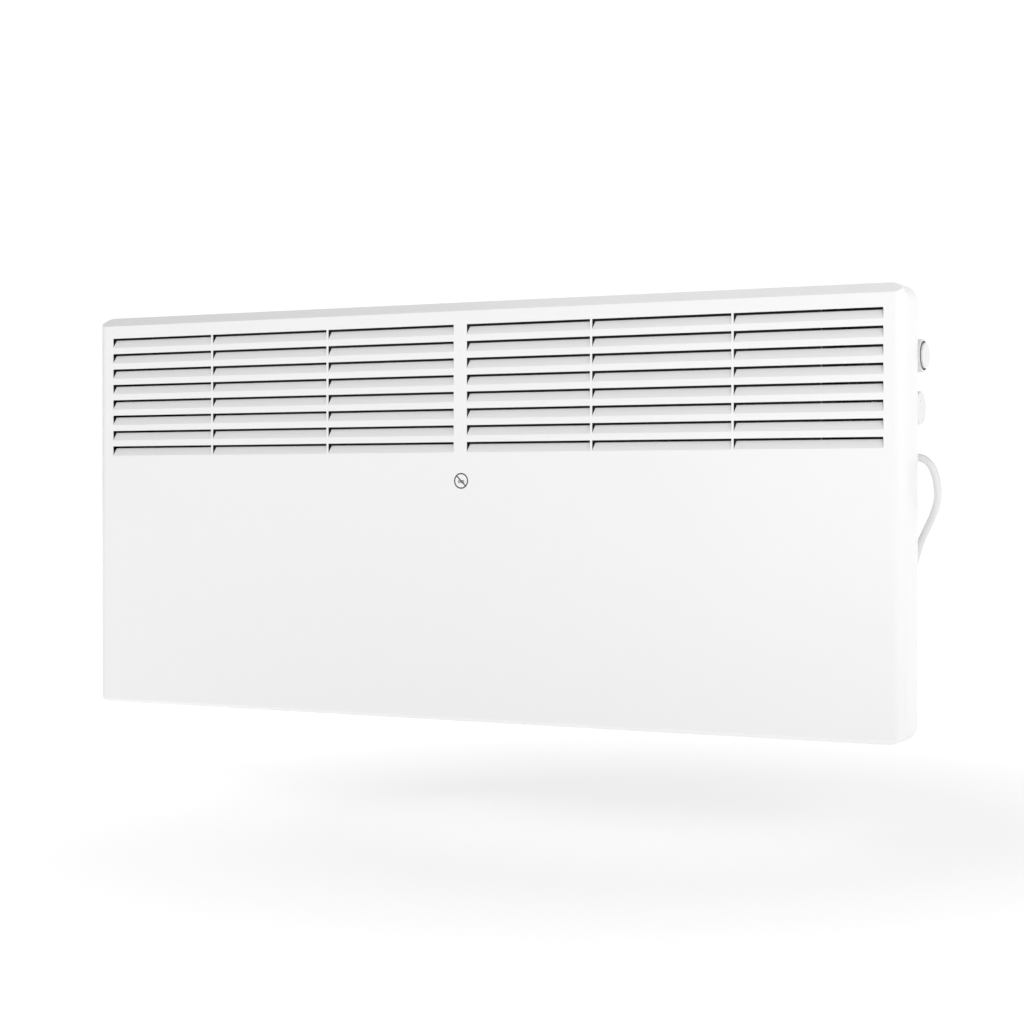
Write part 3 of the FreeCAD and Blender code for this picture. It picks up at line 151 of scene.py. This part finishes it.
class Finish:
    """A procedural material: one Principled shader, with noise in object space for its detail."""

    def __init__(self, name, color, roughness, metallic=0.0, coat=0.0, specular=0.5):
        self.material = bpy.data.materials.new(name)
        self.material.use_nodes = True
        self.tree = self.material.node_tree
        self.shader = self.tree.nodes["Principled BSDF"]
        self.color = color
        self.roughness = roughness
        self.shader.inputs["Base Color"].default_value = (*color, 1)
        self.shader.inputs["Roughness"].default_value = roughness
        self.shader.inputs["Metallic"].default_value = metallic
        self.shader.inputs["Coat Weight"].default_value = coat
        self.shader.inputs["Coat Roughness"].default_value = 0.08
        self.shader.inputs["Specular IOR Level"].default_value = specular
        self.place = self.node("ShaderNodeTexCoord").outputs["Object"]
        self.normal = None

    def node(self, kind):
        return self.tree.nodes.new(kind)

    def link(self, output, entry):
        self.tree.links.new(output, entry)

    def stretched(self, stretch):
        """Object coordinates scaled along each axis, for brushed or drawn grain."""
        mapping = self.node("ShaderNodeMapping")
        mapping.inputs["Scale"].default_value = stretch
        self.link(self.place, mapping.inputs["Vector"])
        return mapping.outputs["Vector"]

    def noise(self, scale, detail=3.0, stretch=None):
        noise = self.node("ShaderNodeTexNoise")
        noise.inputs["Scale"].default_value = scale
        noise.inputs["Detail"].default_value = detail
        self.link(self.stretched(stretch) if stretch else self.place, noise.inputs["Vector"])
        return noise.outputs["Fac"]

    def between(self, factor, low, high):
        """Map a noise value to a range of numbers."""
        spread = self.node("ShaderNodeMapRange")
        spread.inputs["From Min"].default_value = 0.3
        spread.inputs["From Max"].default_value = 0.7
        spread.inputs["To Min"].default_value = low
        spread.inputs["To Max"].default_value = high
        self.link(factor, spread.inputs["Value"])
        return spread.outputs["Result"]

    def tint(self, scale, amount, stretch=None, second=None):
        """Vary the colour between a darker and the plain one, or towards a second colour."""
        mix = self.node("ShaderNodeMix")
        mix.data_type = "RGBA"
        dark = second or [channel * (1 - amount) for channel in self.color]
        mix.inputs[6].default_value = (*self.color, 1)
        mix.inputs[7].default_value = (*dark, 1)
        self.link(self.between(self.noise(scale, 4.0, stretch), 0.0, 1.0), mix.inputs["Factor"])
        self.link(mix.outputs[2], self.shader.inputs["Base Color"])
        return self

    def gloss(self, scale, amount, stretch=None):
        """Vary the roughness about its plain value."""
        rough = self.between(self.noise(scale, 3.0, stretch),
                             self.roughness - amount, self.roughness + amount)
        self.link(rough, self.shader.inputs["Roughness"])
        return self

    def relief(self, scale, distance, strength=1.0, stretch=None, detail=2.0):
        """Add fine height; calls add up."""
        bump = self.node("ShaderNodeBump")
        bump.inputs["Strength"].default_value = strength
        bump.inputs["Distance"].default_value = distance
        self.link(self.noise(scale, detail, stretch), bump.inputs["Height"])
        if self.normal:
            self.link(self.normal, bump.inputs["Normal"])
        self.normal = bump.outputs["Normal"]
        self.link(self.normal, self.shader.inputs["Normal"])
        return self

    def glow_away_from(self, centre, near, far, low, high):
        """A glow that grows with the distance from a point, from low at near to high at far."""
        apart = self.node("ShaderNodeVectorMath")
        apart.operation = "DISTANCE"
        apart.inputs[1].default_value = centre
        self.link(self.place, apart.inputs[0])
        level = self.node("ShaderNodeMapRange")
        level.inputs["From Min"].default_value = near
        level.inputs["From Max"].default_value = far
        level.inputs["To Min"].default_value = low
        level.inputs["To Max"].default_value = high
        self.link(apart.outputs["Value"], level.inputs["Value"])
        self.link(level.outputs["Result"], self.shader.inputs["Emission Strength"])

    def math(self, operation, *values):
        """A number worked out from outputs and plain numbers."""
        node = self.node("ShaderNodeMath")
        node.operation = operation
        for entry, given in zip(node.inputs, values):
            if isinstance(given, (int, float)):
                entry.default_value = given
            else:
                self.link(given, entry)
        return node.outputs["Value"]

    def split(self, vector):
        parts = self.node("ShaderNodeSeparateXYZ")
        self.link(vector, parts.inputs["Vector"])
        return parts.outputs

    def facing_inwards(self):
        """1 on side, top and bottom faces that look towards the middle of the heater."""
        place = self.split(self.place)
        facing = self.split(self.node("ShaderNodeTexCoord").outputs["Normal"])
        outwards = self.math("ADD", self.math("MULTIPLY", place["X"], facing["X"]),
                             self.math("MULTIPLY", place["Z"], facing["Z"]))
        return self.math("LESS_THAN", outwards, -0.01), place, facing

    def painted_shade_casing(self, color):
        """Painted shade: near-black on the casing's faces that look inwards or away from the wall, where
        little light reaches inside the heater.
        """
        inwards, _, facing = self.facing_inwards()
        to_front = self.math("LESS_THAN", facing["Y"], -0.5)
        return self.paint_shade(self.math("MAXIMUM", inwards, to_front), color)

    def painted_shade_cover(self, color):
        """Painted shade: near-black on the cover's inner faces, behind the front sheet but for its blades,
        where little light reaches.
        """
        inwards, place, facing = self.facing_inwards()
        side_wall, end_wall = 0.4125, 0.1865
        back_edge, lip_front = -0.0725, -0.08
        at_edge = self.math("MAXIMUM",
                            self.math("GREATER_THAN", self.math("ABSOLUTE", place["X"]), side_wall),
                            self.math("GREATER_THAN", self.math("ABSOLUTE", place["Z"]), end_wall))
        behind = self.math("MULTIPLY", self.math("GREATER_THAN", facing["Y"], 0.3),
                           self.math("LESS_THAN", place["Y"], back_edge))
        lip = self.math("MULTIPLY", self.math("LESS_THAN", facing["Y"], -0.5),
                        self.math("GREATER_THAN", place["Y"], lip_front))
        walls = self.math("MULTIPLY", inwards, at_edge)
        return self.paint_shade(self.math("MAXIMUM", self.math("MAXIMUM", walls, behind), lip), color)

    def paint_shade(self, inner, color):
        """Painted shade: the given dark colour where inner is 1."""
        mix = self.node("ShaderNodeMix")
        mix.data_type = "RGBA"
        self.link(inner, mix.inputs["Factor"])
        self.link(self.shader.inputs["Base Color"].links[0].from_socket, mix.inputs[6])
        mix.inputs[7].default_value = (*color, 1)
        self.link(mix.outputs[2], self.shader.inputs["Base Color"])
        return self


def make_finishes():
    """Every finish by the record's material slot, and the cover's and casing's own, which paint shade on
    their inner faces.
    """
    finishes = {}

    def add(slot, finish):
        finishes[slot] = finish.material

    white = (0.92, 0.92, 0.92)
    # inside: near-black painted shade for the heater's inner faces, seen through the louvres
    inside = (0.05, 0.05, 0.052)
    enamel = Finish("white_enamel", white, 0.32, coat=0.2)
    add("white_enamel", enamel.tint(5, 0.004).gloss(140, 0.015).relief(500, 0.00002, 0.25))
    cover = Finish("cover_enamel_painted_shade", white, 0.32, coat=0.2)
    # painted shade: the cover's inner faces are made near-black
    cover.tint(5, 0.004).painted_shade_cover(inside)
    add("cover", cover.gloss(140, 0.015).relief(500, 0.00002, 0.25))
    casing = Finish("casing_enamel_painted_shade", white, 0.36, coat=0.1)
    # painted shade: the casing's inner faces are made near-black
    casing.tint(5, 0.006).painted_shade_casing(inside)
    add("casing", casing.gloss(140, 0.02).relief(500, 0.00002, 0.3))
    zinc = Finish("bracket_zinc", (0.62, 0.63, 0.65), 0.38, metallic=1.0)
    add("bracket_zinc", zinc.tint(60, 0.18).gloss(90, 0.1).relief(900, 0.00002, 0.4))
    hardware = Finish("steel_hardware", (0.6, 0.6, 0.58), 0.3, metallic=1.0)
    add("steel_hardware", hardware.tint(400, 0.15).gloss(500, 0.08).relief(1500, 0.00001, 0.4))
    # galvanised steel, darker than bare zinc so the pieces seen through the louvres read as shade: its tone
    # is partly painted shade
    galvanised = Finish("galvanised_sheet", (0.3, 0.31, 0.32), 0.48, metallic=1.0)
    add("galvanised_sheet", galvanised.tint(45, 0.3).gloss(45, 0.12).relief(700, 0.00002, 0.3))
    rubber = Finish("black_rubber", (0.02, 0.02, 0.021), 0.62)
    add("black_rubber", rubber.tint(300, 0.3).gloss(200, 0.08).relief(1200, 0.00003, 0.5))
    plastic = Finish("white_plastic", (0.84, 0.84, 0.835), 0.34)
    add("white_plastic", plastic.tint(40, 0.015).gloss(120, 0.04).relief(1800, 0.00001, 0.35))
    control = Finish("control_plastic", (0.06, 0.06, 0.062), 0.5)
    add("control_plastic", control.tint(200, 0.25).gloss(150, 0.06).relief(1400, 0.00002, 0.5))
    tabs = Finish("plated_tabs", (0.72, 0.7, 0.64), 0.25, metallic=1.0)
    add("plated_tabs", tabs.tint(300, 0.12).gloss(600, 0.08, (1, 1, 0.1)).relief(1500, 0.00001, 0.4))
    profile = Finish("aluminium_profile", (0.66, 0.66, 0.67), 0.36, metallic=1.0)
    profile.tint(20, 0.15, (0.05, 1, 1)).relief(900, 0.00002, 0.4, (0.03, 1, 1))
    add("aluminium_profile", profile)
    sheath = Finish("sheath_steel", (0.3, 0.27, 0.24), 0.4, metallic=1.0)
    add("sheath_steel", sheath.tint(25, 0.4).gloss(200, 0.1).relief(1200, 0.00001, 0.4))
    ceramic = Finish("ceramic", (0.78, 0.75, 0.68), 0.6)
    add("ceramic", ceramic.tint(500, 0.1).gloss(300, 0.08).relief(1600, 0.00003, 0.5))
    copper = Finish("copper_capillary", (0.7, 0.4, 0.26), 0.28, metallic=1.0)
    add("copper_capillary", copper.tint(100, 0.25).gloss(300, 0.08).relief(1500, 0.00001, 0.3))
    brown = Finish("wire_brown", (0.16, 0.07, 0.035), 0.4)
    add("wire_brown", brown.tint(300, 0.2).gloss(300, 0.05).relief(1500, 0.00001, 0.3))
    blue = Finish("wire_blue", (0.03, 0.12, 0.5), 0.4)
    add("wire_blue", blue.tint(300, 0.2).gloss(300, 0.05).relief(1500, 0.00001, 0.3))
    earth = Finish("wire_green_yellow", (0.55, 0.62, 0.03), 0.4)
    add("wire_green_yellow", earth.tint(220, 0.0, second=(0.05, 0.32, 0.04)).relief(1500, 0.00001, 0.3))
    cord = Finish("white_cord", (0.8, 0.8, 0.795), 0.42)
    add("white_cord", cord.tint(60, 0.02).gloss(160, 0.05).relief(900, 0.00003, 0.4))
    ink = Finish("ink", (0.05, 0.05, 0.055), 0.45)
    add("ink", ink.tint(800, 0.25).gloss(500, 0.08).relief(2500, 0.00001, 0.3))
    pale_ink = Finish("pale_ink", (0.42, 0.42, 0.43), 0.45)
    add("pale_ink", pale_ink.tint(800, 0.1).gloss(500, 0.08).relief(2500, 0.00001, 0.3))
    plug_rubber = Finish("plug_rubber", (0.8, 0.8, 0.79), 0.5)
    add("plug_rubber", plug_rubber.tint(90, 0.025).gloss(200, 0.06).relief(1400, 0.00003, 0.5))
    nylon = Finish("tie_nylon", (0.7, 0.7, 0.68), 0.38)
    add("tie_nylon", nylon.tint(90, 0.04).gloss(260, 0.06).relief(1400, 0.00002, 0.4))
    return finishes


def paint(thing, material):
    thing.data.materials.clear()
    thing.data.materials.append(material)


FINISHES = make_finishes()
SLOT_OF = {entry["node"]: entry["material_slot"] for entry in frame["record"]["subparts"]}
for name, node in NODES.items():
    paint(node, FINISHES[SLOT_OF[name]])
for name in ("rear_casing", "back_panel"):
    paint(NODES[name], FINISHES["casing"])
paint(NODES["front_cover"], FINISHES["cover"])
paint(lead, FINISHES["white_cord"])


# ---------------------------------------------------------------- pieces in mesh code

def piece(name, points, faces, body, slot, replaces=(), material=None, sharp=32):
    """A mesh piece given in millimetres, smooth but for edges sharper than an angle."""
    mesh = bpy.data.meshes.new(name)
    mesh.from_pydata([Vector(point) * MM for point in points], [], faces)
    mesh.validate()
    mesh.shade_smooth()
    mesh.set_sharp_from_angle(angle=math.radians(sharp))
    thing = bpy.data.objects.new(name, mesh)
    bpy.context.scene.collection.objects.link(thing)
    paint(thing, material or FINISHES[slot])
    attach(thing, body)
    if replaces:
        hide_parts(*replaces)
    return thing


def skin(rings, closed=False):
    """Points and faces of a tube through rings of equal count; its ends are capped unless it closes."""
    count = len(rings[0])
    points = [point for ring in rings for point in ring]
    faces = []
    spans = len(rings) if closed else len(rings) - 1
    for row in range(spans):
        near = row * count
        far = (row + 1) % len(rings) * count
        for index in range(count):
            after = (index + 1) % count
            faces.append((near + index, near + after, far + after, far + index))
    if not closed:
        faces.append(tuple(reversed(range(count))))
        faces.append(tuple(range(len(points) - count, len(points))))
    return points, faces


def turned(centre, axis, profile, around=48):
    """Rings about an axis through a centre; the profile gives (distance along the axis, radius)."""
    order = "xyz".index(axis)
    rings = []
    for along, radius in profile:
        ring = []
        for index in range(around):
            turn = 2 * math.pi * index / around
            point = list(centre)
            point[order] += along
            point[(order + 1) % 3] += radius * math.cos(turn)
            point[(order + 2) % 3] += radius * math.sin(turn)
            ring.append(tuple(point))
        rings.append(ring)
    return rings


def joined(groups):
    """Several skins as the points and faces of one mesh."""
    points, faces = [], []
    for group_points, group_faces in groups:
        start = len(points)
        points.extend(group_points)
        faces.extend(tuple(start + index for index in face) for face in group_faces)
    return points, faces


def make_mark():
    """Printed ring with a slanting bar on the panel, and a plain block in its middle."""
    middle_x, middle_z = -1.0, 29.2
    face = FRONT / MM
    sunk = proud = 0.05
    outer, inner = 7.55, 6.3
    around = 96

    def flat(outline, height):
        return [[(middle_x + x, y, middle_z + z) for x, z in outline] for y in (face + sunk, face - height)]

    def circle(radius):
        turns = [2 * math.pi * index / around for index in range(around)]
        return [(radius * math.cos(turn), radius * math.sin(turn)) for turn in turns]

    outside, inside = flat(circle(outer), proud), flat(circle(inner), proud)
    ring = [*outside, *reversed(inside)]
    reach, half = 6.32, 0.62
    slant = math.sqrt(0.5)
    bar = [(slant * (along - across), -slant * (along + across))
           for along, across in ((-reach, -half), (reach, -half), (reach, half), (-reach, half))]
    ink = joined([skin(ring, closed=True), skin(flat(bar, proud))])
    piece("panel_mark", *ink, "heater", "control_plastic", material=FINISHES["ink"])
    block = [(-3.4, -2.2), (3.4, -2.2), (3.4, 0.4), (2.9, 0.9), (-2.9, 0.9), (-3.4, 0.4)]
    piece("panel_mark_block", *skin(flat(block, 0.02)), "heater", "control_plastic",
          material=FINISHES["pale_ink"])


def make_knob_dot():
    """Small moulded pointer dot near the knob's rim."""
    low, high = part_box("thermostat_knob")
    radius = (high.z - low.z) / 2 / MM
    middle = ((high.y + low.y) / 2 / MM, (high.z + low.z) / 2 / MM)
    centre = (high.x / MM, middle[0] - 0.3 * radius, middle[1] + 0.4 * radius)
    profile = [(-0.3, 0.75), (0.0, 0.75), (0.08, 0.6), (0.12, 0.35)]
    piece("knob_dot", *skin(turned(centre, "x", profile, 24)), "knob", "control_plastic",
          material=FINISHES["pale_ink"])


PLUG_AXIS = (280.0, -20.0)
PLUG_FACE = -176.0
PLUG_NECK = -140.0


def plug_radius(height, turn):
    """Outline of the plug: a round face with a notch at each side, and a slimmer ribbed grip above."""
    above = height - PLUG_FACE
    if above <= 12:
        radius = 17.5
        if abs(math.sin(turn)) > math.cos(math.radians(11)):
            radius -= 2.4
        return radius
    part = min((above - 12) / 22.0, 1.0)
    smooth = part * part * (3 - 2 * part)
    across = 16.2 - 6.6 * smooth
    deep = 15.6 - 7.0 * smooth
    radius = 1 / math.hypot(math.cos(turn) / across, math.sin(turn) / deep)
    if 3 < above - 12 < 19:
        radius -= 0.35 * (1 - math.cos(2 * math.pi * (above - 15) / 3.2)) / 2
    return radius


def make_plug():
    """Round earthed plug with side contacts, a ribbed grip, domed pins and a segmented strain relief."""
    heights = [PLUG_FACE, PLUG_FACE + 0.7] + [PLUG_FACE + 2 + 2 * step for step in range(5)]
    heights += [PLUG_FACE + 12, PLUG_FACE + 12.6] + [PLUG_FACE + 13.4 + 0.4 * step for step in range(52)]
    heights += [PLUG_NECK - 1.2, PLUG_NECK]
    rings = []
    for height in heights:
        trim = 0.7 if height in (PLUG_FACE, PLUG_NECK) else 0
        ring = []
        for index in range(96):
            turn = 2 * math.pi * index / 96
            radius = plug_radius(height, turn) - trim
            ring.append((PLUG_AXIS[0] + radius * math.cos(turn),
                         PLUG_AXIS[1] + radius * math.sin(turn), height))
        rings.append(ring)
    plug = piece("plug_grip", *skin(rings), "heater", "white_cord", replaces=("plug_body",),
                 material=FINISHES["plug_rubber"])

    profile = [(0.0, 6.1), (0.4, 6.5)]
    for rib in range(5):
        base = 1.6 + 4.0 * rib
        width = 6.5 - 0.092 * base
        profile += [(base, width), (base + 0.3, width - 0.9),
                    (base + 1.3, width - 1.0), (base + 1.6, width - 0.15)]
    profile += [(21.4, 4.35), (22.0, 4.0)]
    centre = (*PLUG_AXIS, PLUG_NECK)
    relief = piece("plug_strain_relief", *skin(turned(centre, "z", profile)), "heater", "white_cord",
                   replaces=("plug_relief",), material=FINISHES["plug_rubber"])

    pin_profile = [(0.0, 2.4), (-17.4, 2.4), (-18.2, 2.1), (-18.75, 1.5), (-19.0, 0.6)]
    pins = []
    for side, sign in (("left", -1), ("right", 1)):
        centre = (PLUG_AXIS[0] + 9.5 * sign, PLUG_AXIS[1], PLUG_FACE)
        pins.append(piece(f"pin_{side}", *skin(turned(centre, "z", pin_profile, 32)), "heater",
                          "plated_tabs", replaces=(f"plug_pin_{side}",)))
    line = [(14.3, 0.4), (15.4, 1.2), (15.9, 4.0), (16.0, 7.0), (15.5, 10.0), (14.4, 11.6)]
    strip = [(-2.0, 0.0), (-1.7, 0.5), (1.7, 0.5), (2.0, 0.0), (1.7, -0.4), (-1.7, -0.4)]
    springs = []
    for sign in (-1, 1):
        rings = [[(PLUG_AXIS[0] + x, PLUG_AXIS[1] + sign * (reach + thick), PLUG_FACE + height)
                  for x, thick in strip]
                 for reach, height in line]
        springs.append(skin(rings))
    contacts = piece("plug_earth_contacts", *joined(springs), "heater", "plated_tabs")
    return [plug, relief, contacts, *pins]


def rounded_loop(low, high, radius, steps=6):
    """Corners of a rounded rectangle in two coordinates."""
    near_x, far_x = low[0] + radius, high[0] - radius
    near_y, far_y = low[1] + radius, high[1] - radius
    outline = []
    for quarter, (x, y) in enumerate(((far_x, far_y), (near_x, far_y), (near_x, near_y), (far_x, near_y))):
        for step in range(steps + 1):
            turn = math.radians(90 * quarter + 90 * step / steps)
            outline.append((x + radius * math.cos(turn), y + radius * math.sin(turn)))
    return outline


def make_tie():
    """Cable tie round the coil: a thin band with rounded edges, and its ratchet head on top."""
    low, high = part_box("cord_tie")
    corners = (low.y / MM, low.z / MM), (high.y / MM, high.z / MM)
    band = 1.2
    outer = rounded_loop(*corners, 4.6)
    inner = rounded_loop([along + band for along in corners[0]],
                         [along - band for along in corners[1]], 3.4)
    middle = (low.x + high.x) / 2 / MM
    half = 3.8
    rings = []
    for (out_y, out_z), (in_y, in_z) in zip(outer, inner):
        mid_y, mid_z = (out_y + in_y) / 2, (out_z + in_z) / 2
        rings.append([(middle - half + 0.3, out_y, out_z), (middle + half - 0.3, out_y, out_z),
                      (middle + half, mid_y, mid_z), (middle + half - 0.3, in_y, in_z),
                      (middle - half + 0.3, in_y, in_z), (middle - half, mid_y, mid_z)])
    top = high.z / MM
    line = (low.y + high.y) / 2 / MM
    head = []
    for height, trim in ((-0.3, 0.0), (3.6, 0.0), (4.4, 0.3), (4.8, 1.0)):
        across, deep = 4.6 - trim, 4 - trim
        outline = rounded_loop((middle - across, line - deep), (middle + across, line + deep), 1.2)
        head.append([(x, y, top + height) for x, y in outline])
    end = [(-3.5, 1.0), (3.5, 1.0), (3.5, 2.1), (-3.5, 2.1)]
    stub = [[(middle + x, line + reach, top + z) for x, z in end] for reach in (3.5, 6.0)]
    return piece("cable_tie", *joined([skin(rings, closed=True), skin(head), skin(stub)]), "heater",
                 "control_plastic", replaces=("cord_tie",), material=FINISHES["tie_nylon"])


def make_rivets():
    """Blind rivets in the back panel that hold the shield, the partition and the element's brackets."""
    _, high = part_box("back_panel")
    shield_low, shield_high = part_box("heat_shield")
    partition_low, partition_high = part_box("control_partition")
    places = []
    for level in (shield_low.z / MM + 7, shield_high.z / MM - 7):
        places += [(x, level) for x in (-300, -100, 100, 300)]
    foot = partition_low.x / MM + 6
    places += [(foot, z) for z in (-150, -50, 50, 150)]
    for name in ("element_holder_left", "element_holder_right"):
        holder_low, holder_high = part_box(name)
        inwards = 1 if holder_low.x < 0 else -1
        foot = (holder_high.x if inwards > 0 else holder_low.x) / MM - 6 * inwards
        places += [(foot, holder_low.z / MM + 12), (foot, holder_high.z / MM - 12)]
    profile = [(-0.2, 3.1), (0.25, 3.2), (0.7, 2.7), (0.95, 1.9), (0.95, 1.2), (0.35, 1.0), (0.3, 0.5)]
    heads = [skin(turned((x, high.y / MM, z), "y", profile, 20)) for x, z in places]
    return piece("back_rivets", *joined(heads), "heater", "steel_hardware", sharp=50)


make_mark()
make_knob_dot()
PLUG_PIECES = make_plug()
TIE = make_tie()
make_rivets()


# ---------------------------------------------------------------- studio

def make_floor():
    """White floor that the hanging heater throws a soft shadow on; it has a painted glow, weaker near the
    heater and stronger further away, which is painted shade around the shadow.
    """
    mesh = bpy.data.meshes.new("floor")
    reach = 30.0
    level = COVER_LOW.z - 0.084
    corners = [(x * reach, y * reach, level) for x, y in ((-1, -1), (1, -1), (1, 1), (-1, 1))]
    mesh.from_pydata(corners, [], [(0, 1, 2, 3)])
    floor = bpy.data.objects.new("floor", mesh)
    bpy.context.scene.collection.objects.link(floor)
    finish = Finish("floor_paper_painted_glow", (0.87, 0.87, 0.87), 0.9, specular=0.1)
    finish.shader.inputs["Emission Color"].default_value = (1, 1, 1, 1)
    # painted glow: the floor gives off light, less of it near the heater, a painted shade about the
    # heater's shadow
    finish.glow_away_from((0.2, -0.1, level), 0.3, 1.1, 0.355, 0.74)
    finish.tint(3, 0.004).relief(60, 0.0002, 0.1)
    paint(floor, finish.material)


# direction, where the fade starts and ends along it, and the level that it fades to
WORLD_FADES = [
    ((0, 0, 1), 0.3, 0.95, 0.1),
    ((0, -1, 0), -0.1, 0.5, 1.0),
    ((-0.985, -0.17, 0), 0.52, 0.85, 0.35),
    ((0.9, -0.43, 0), 0.2, 0.8, 0.88),
]


def make_world():
    """White surround, a little darker overhead and at both sides, so that the panel shows its form."""
    world = bpy.data.worlds.new("studio")
    bpy.context.scene.world = world
    world.use_nodes = True
    tree = world.node_tree
    background = tree.nodes["Background"]
    background.inputs["Color"].default_value = (1, 1, 1, 1)
    place = tree.nodes.new("ShaderNodeTexCoord")
    level = None
    for direction, start, end, darkest in WORLD_FADES:
        towards = tree.nodes.new("ShaderNodeVectorMath")
        towards.operation = "DOT_PRODUCT"
        towards.inputs[1].default_value = direction
        tree.links.new(place.outputs["Generated"], towards.inputs[0])
        fade = tree.nodes.new("ShaderNodeMapRange")
        fade.inputs["From Min"].default_value = start
        fade.inputs["From Max"].default_value = end
        fade.inputs["To Min"].default_value = 1.0
        fade.inputs["To Max"].default_value = darkest
        tree.links.new(towards.outputs["Value"], fade.inputs["Value"])
        product = tree.nodes.new("ShaderNodeMath")
        product.operation = "MULTIPLY"
        product.inputs[1].default_value = 1.05
        tree.links.new(fade.outputs["Result"], product.inputs[0])
        if level:
            tree.links.new(level, product.inputs[1])
        level = product.outputs["Value"]
    tree.links.new(level, background.inputs["Strength"])


def make_softbox(name, place, target, size, power):
    data = bpy.data.lights.new(name, "AREA")
    data.shape = "RECTANGLE"
    data.size = size[0]
    data.size_y = size[1]
    data.energy = power
    light = bpy.data.objects.new(name, data)
    light.location = place
    light.rotation_euler = (Vector(target) - Vector(place)).to_track_quat("-Z", "Y").to_euler()
    bpy.context.scene.collection.objects.link(light)


def make_studio():
    make_floor()
    make_world()
    make_softbox("key_softbox", (1.5, -1.1, 0.75), (0.2, FRONT, 0.0), (0.9, 0.9), 3.8)
    make_softbox("side_softbox", (1.9, -0.45, 0.95), (0.42, -0.1, 0.1), (0.5, 1.2), 0.6)
    make_softbox("overhead_softbox", (0.0, -0.05, 1.6), (0.0, -0.05, 0.0), (1.4, 1.2), 4.5)
    make_softbox("front_softbox", (0.1, -2.8, 0.0), (0.0, FRONT, 0.0), (1.8, 0.5), 3.0)
    bpy.context.scene.view_settings.view_transform = "Standard"


make_studio()
